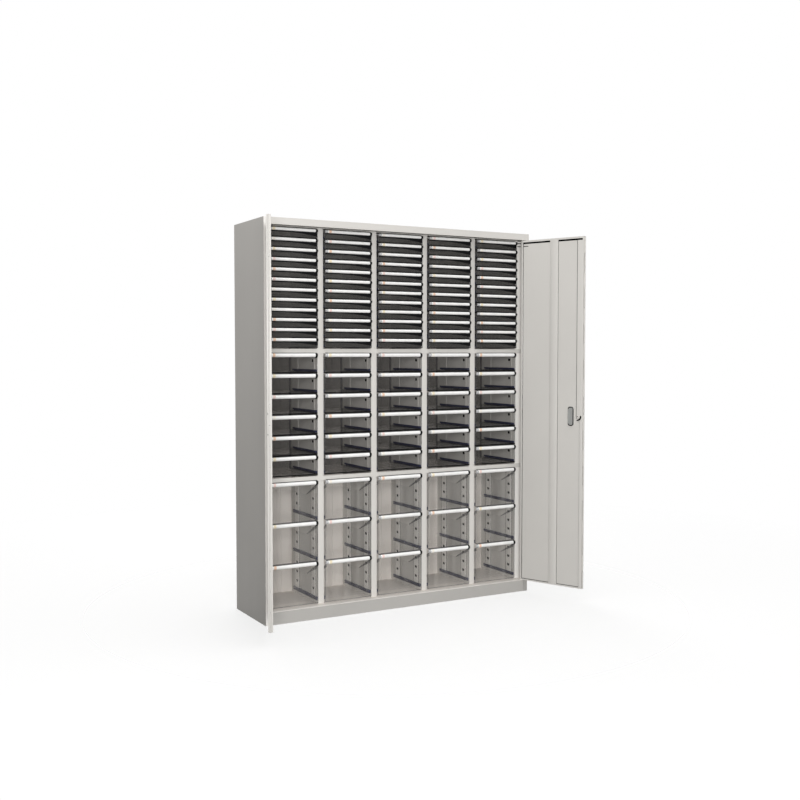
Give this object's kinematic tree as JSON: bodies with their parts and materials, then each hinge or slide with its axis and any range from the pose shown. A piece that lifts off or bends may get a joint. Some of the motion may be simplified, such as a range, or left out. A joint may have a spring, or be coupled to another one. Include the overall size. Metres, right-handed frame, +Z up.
{
  "type": "drawer file cabinet",
  "caption": "Tall steel file cabinet with columns of clear paper trays in thin, medium and tall banks, behind a pair of folding doors that open to the sides.",
  "frame": {"origin": "on the floor under the middle of the carcass, at the underside of the base cross member", "axes": "+X to the right along the front, -Y out of the front, +Z up"},
  "size_m": [1.6212, 0.6713, 1.776],
  "materials": {
    "paint": "satin light grey paint",
    "dark_steel": "dark steel",
    "grey_plastic": "matte",
    "clear_plastic": "clear, with a white grip bar"
  },
  "bodies": {
    "cabinet": {"left_side_panel": "paint", "right_side_panel": "paint", "top_panel": "paint", "back_panel": "paint", "bottom_panel": "paint", "kick_plate": "paint", "base_cross_member": "paint", "divider_1": "paint", "divider_2": "paint", "divider_3": "paint", "divider_4": "paint", "left_runner_liner": "paint", "right_runner_liner": "paint", "lower_cross_rail": "paint", "upper_cross_rail": "paint", "left_hinge_pin": "dark_steel", "right_hinge_pin": "dark_steel"},
    "right_door": {"right_hinge_leaf": "paint", "right_leaf_stiffener": "paint", "right_fold_pin": "dark_steel", "lock_cup": "grey_plastic"},
    "right_fold": {"right_fold_leaf": "paint"},
    "latch": {"latch_hook": "dark_steel"},
    "left_door": {"left_hinge_leaf": "paint", "left_leaf_stiffener": "paint", "left_fold_pin": "dark_steel"},
    "left_fold": {"left_fold_leaf": "paint"},
    "thin_drawer_1": {"thin_drawer_1": "clear_plastic"},
    "thin_drawer_2": {"thin_drawer_2": "clear_plastic"},
    "thin_drawer_3": {"thin_drawer_3": "clear_plastic"},
    "thin_drawer_4": {"thin_drawer_4": "clear_plastic"},
    "thin_drawer_5": {"thin_drawer_5": "clear_plastic"},
    "thin_drawer_6": {"thin_drawer_6": "clear_plastic"},
    "thin_drawer_7": {"thin_drawer_7": "clear_plastic"},
    "thin_drawer_8": {"thin_drawer_8": "clear_plastic"},
    "thin_drawer_9": {"thin_drawer_9": "clear_plastic"},
    "thin_drawer_10": {"thin_drawer_10": "clear_plastic"},
    "thin_drawer_11": {"thin_drawer_11": "clear_plastic"},
    "thin_drawer_12": {"thin_drawer_12": "clear_plastic"},
    "medium_drawer_1": {"medium_drawer_1": "clear_plastic"},
    "medium_drawer_2": {"medium_drawer_2": "clear_plastic"},
    "medium_drawer_3": {"medium_drawer_3": "clear_plastic"},
    "medium_drawer_4": {"medium_drawer_4": "clear_plastic"},
    "medium_drawer_5": {"medium_drawer_5": "clear_plastic"},
    "medium_drawer_6": {"medium_drawer_6": "clear_plastic"},
    "tall_drawer_1": {"tall_drawer_1": "clear_plastic"},
    "tall_drawer_2": {"tall_drawer_2": "clear_plastic"},
    "tall_drawer_3": {"tall_drawer_3": "clear_plastic"},
    "thin_bank_2": {"thin_bank_2": "clear_plastic"},
    "thin_bank_3": {"thin_bank_3": "clear_plastic"},
    "thin_bank_4": {"thin_bank_4": "clear_plastic"},
    "thin_bank_5": {"thin_bank_5": "clear_plastic"},
    "medium_bank_2": {"medium_bank_2": "clear_plastic"},
    "medium_bank_3": {"medium_bank_3": "clear_plastic"},
    "medium_bank_4": {"medium_bank_4": "clear_plastic"},
    "medium_bank_5": {"medium_bank_5": "clear_plastic"},
    "tall_bank_2": {"tall_bank_2": "clear_plastic"},
    "tall_bank_3": {"tall_bank_3": "clear_plastic"},
    "tall_bank_4": {"tall_bank_4": "clear_plastic"},
    "tall_bank_5": {"tall_bank_5": "clear_plastic"}
  },
  "joints": [
    {"name": "right_door_swing", "type": "hinge", "parent": "cabinet", "child": "right_door", "pos_m": [0.6695, -0.17275, 0.9005], "axis": [0, 0, 1], "range_deg": [-112, 4]},
    {"name": "left_door_swing", "type": "hinge", "parent": "cabinet", "child": "left_door", "pos_m": [-0.6695, -0.17275, 0.9005], "axis": [0, 0, -1], "range_deg": [-112, 4]},
    {"name": "right_fold_swing", "type": "hinge", "parent": "right_door", "child": "right_fold", "pos_m": [0.80267, -0.48834, 0.9005], "axis": [0, 0, 1], "range_deg": [-180, 0]},
    {"name": "left_fold_swing", "type": "hinge", "parent": "left_door", "child": "left_fold", "pos_m": [-0.80267, -0.48834, 0.9005], "axis": [0, 0, -1], "range_deg": [-180, 0]},
    {"name": "latch_turn", "type": "hinge", "parent": "right_door", "child": "latch", "pos_m": [0.78694, -0.46342, 0.887], "axis": [-0.9272, -0.3746, 0], "range_deg": [0, 90]},
    {"name": "thin_drawer_1_slide", "type": "slide", "parent": "cabinet", "child": "thin_drawer_1", "axis": [0, -1, 0], "range_m": [0, 0.25]},
    {"name": "thin_drawer_2_slide", "type": "slide", "parent": "cabinet", "child": "thin_drawer_2", "axis": [0, -1, 0], "range_m": [0, 0.25]},
    {"name": "thin_drawer_3_slide", "type": "slide", "parent": "cabinet", "child": "thin_drawer_3", "axis": [0, -1, 0], "range_m": [0, 0.25]},
    {"name": "thin_drawer_4_slide", "type": "slide", "parent": "cabinet", "child": "thin_drawer_4", "axis": [0, -1, 0], "range_m": [0, 0.25]},
    {"name": "thin_drawer_5_slide", "type": "slide", "parent": "cabinet", "child": "thin_drawer_5", "axis": [0, -1, 0], "range_m": [0, 0.25]},
    {"name": "thin_drawer_6_slide", "type": "slide", "parent": "cabinet", "child": "thin_drawer_6", "axis": [0, -1, 0], "range_m": [0, 0.25]},
    {"name": "thin_drawer_7_slide", "type": "slide", "parent": "cabinet", "child": "thin_drawer_7", "axis": [0, -1, 0], "range_m": [0, 0.25]},
    {"name": "thin_drawer_8_slide", "type": "slide", "parent": "cabinet", "child": "thin_drawer_8", "axis": [0, -1, 0], "range_m": [0, 0.25]},
    {"name": "thin_drawer_9_slide", "type": "slide", "parent": "cabinet", "child": "thin_drawer_9", "axis": [0, -1, 0], "range_m": [0, 0.25]},
    {"name": "thin_drawer_10_slide", "type": "slide", "parent": "cabinet", "child": "thin_drawer_10", "axis": [0, -1, 0], "range_m": [0, 0.25]},
    {"name": "thin_drawer_11_slide", "type": "slide", "parent": "cabinet", "child": "thin_drawer_11", "axis": [0, -1, 0], "range_m": [0, 0.25]},
    {"name": "thin_drawer_12_slide", "type": "slide", "parent": "cabinet", "child": "thin_drawer_12", "axis": [0, -1, 0], "range_m": [0, 0.25]},
    {"name": "medium_drawer_1_slide", "type": "slide", "parent": "cabinet", "child": "medium_drawer_1", "axis": [0, -1, 0], "range_m": [0, 0.25]},
    {"name": "medium_drawer_2_slide", "type": "slide", "parent": "cabinet", "child": "medium_drawer_2", "axis": [0, -1, 0], "range_m": [0, 0.25]},
    {"name": "medium_drawer_3_slide", "type": "slide", "parent": "cabinet", "child": "medium_drawer_3", "axis": [0, -1, 0], "range_m": [0, 0.25]},
    {"name": "medium_drawer_4_slide", "type": "slide", "parent": "cabinet", "child": "medium_drawer_4", "axis": [0, -1, 0], "range_m": [0, 0.25]},
    {"name": "medium_drawer_5_slide", "type": "slide", "parent": "cabinet", "child": "medium_drawer_5", "axis": [0, -1, 0], "range_m": [0, 0.25]},
    {"name": "medium_drawer_6_slide", "type": "slide", "parent": "cabinet", "child": "medium_drawer_6", "axis": [0, -1, 0], "range_m": [0, 0.25]},
    {"name": "tall_drawer_1_slide", "type": "slide", "parent": "cabinet", "child": "tall_drawer_1", "axis": [0, -1, 0], "range_m": [0, 0.25]},
    {"name": "tall_drawer_2_slide", "type": "slide", "parent": "cabinet", "child": "tall_drawer_2", "axis": [0, -1, 0], "range_m": [0, 0.25]},
    {"name": "tall_drawer_3_slide", "type": "slide", "parent": "cabinet", "child": "tall_drawer_3", "axis": [0, -1, 0], "range_m": [0, 0.25]},
    {"name": "thin_bank_2_slide", "type": "slide", "parent": "cabinet", "child": "thin_bank_2", "axis": [0, -1, 0], "range_m": [0, 0.25]},
    {"name": "thin_bank_3_slide", "type": "slide", "parent": "cabinet", "child": "thin_bank_3", "axis": [0, -1, 0], "range_m": [0, 0.25]},
    {"name": "thin_bank_4_slide", "type": "slide", "parent": "cabinet", "child": "thin_bank_4", "axis": [0, -1, 0], "range_m": [0, 0.25]},
    {"name": "thin_bank_5_slide", "type": "slide", "parent": "cabinet", "child": "thin_bank_5", "axis": [0, -1, 0], "range_m": [0, 0.25]},
    {"name": "medium_bank_2_slide", "type": "slide", "parent": "cabinet", "child": "medium_bank_2", "axis": [0, -1, 0], "range_m": [0, 0.25]},
    {"name": "medium_bank_3_slide", "type": "slide", "parent": "cabinet", "child": "medium_bank_3", "axis": [0, -1, 0], "range_m": [0, 0.25]},
    {"name": "medium_bank_4_slide", "type": "slide", "parent": "cabinet", "child": "medium_bank_4", "axis": [0, -1, 0], "range_m": [0, 0.25]},
    {"name": "medium_bank_5_slide", "type": "slide", "parent": "cabinet", "child": "medium_bank_5", "axis": [0, -1, 0], "range_m": [0, 0.25]},
    {"name": "tall_bank_2_slide", "type": "slide", "parent": "cabinet", "child": "tall_bank_2", "axis": [0, -1, 0], "range_m": [0, 0.25]},
    {"name": "tall_bank_3_slide", "type": "slide", "parent": "cabinet", "child": "tall_bank_3", "axis": [0, -1, 0], "range_m": [0, 0.25]},
    {"name": "tall_bank_4_slide", "type": "slide", "parent": "cabinet", "child": "tall_bank_4", "axis": [0, -1, 0], "range_m": [0, 0.25]},
    {"name": "tall_bank_5_slide", "type": "slide", "parent": "cabinet", "child": "tall_bank_5", "axis": [0, -1, 0], "range_m": [0, 0.25]}
  ]
}
